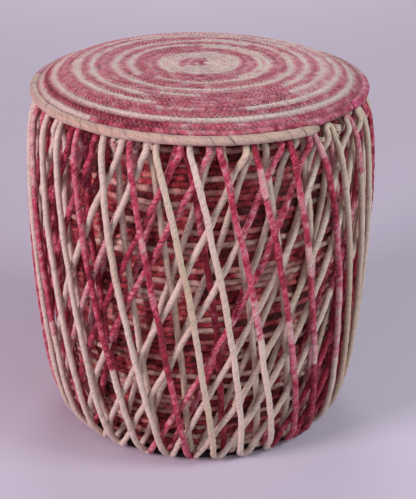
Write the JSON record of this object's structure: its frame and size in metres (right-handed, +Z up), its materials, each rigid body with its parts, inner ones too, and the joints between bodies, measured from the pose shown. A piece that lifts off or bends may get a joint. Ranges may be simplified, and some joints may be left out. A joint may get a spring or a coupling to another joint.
{
  "type": "woven ottoman",
  "caption": "Round ottoman with a domed seat coiled from rope, and crossing zigzag cord lacing over a woven barrel on a thin base board.",
  "frame": {"origin": "centre of the base board's underside, on the floor", "axes": "+Z up, -Y towards the front that the picture shows, +X to its right"},
  "size_m": [0.4074, 0.4079, 0.4325],
  "materials": {
    "base_board": "dark stained board, matt",
    "wall_rope": "natural and dyed fibre rope in level rows",
    "inner_cord": "wrapped fibre cord, natural and pink lengths",
    "outer_cord": "wrapped fibre cord, natural and pink lengths",
    "seat_rope": "coiled fibre rope, zigzag sewn, natural and pink turns",
    "rim_rope": "thick smooth-wrapped fibre rope"
  },
  "bodies": {
    "root": {"base_board": "base_board", "woven_wall": "wall_rope", "inner_lacing": "inner_cord", "outer_lacing": "outer_cord", "seat_coil": "seat_rope", "rim_cord": "rim_rope"}
  },
  "joints": []
}
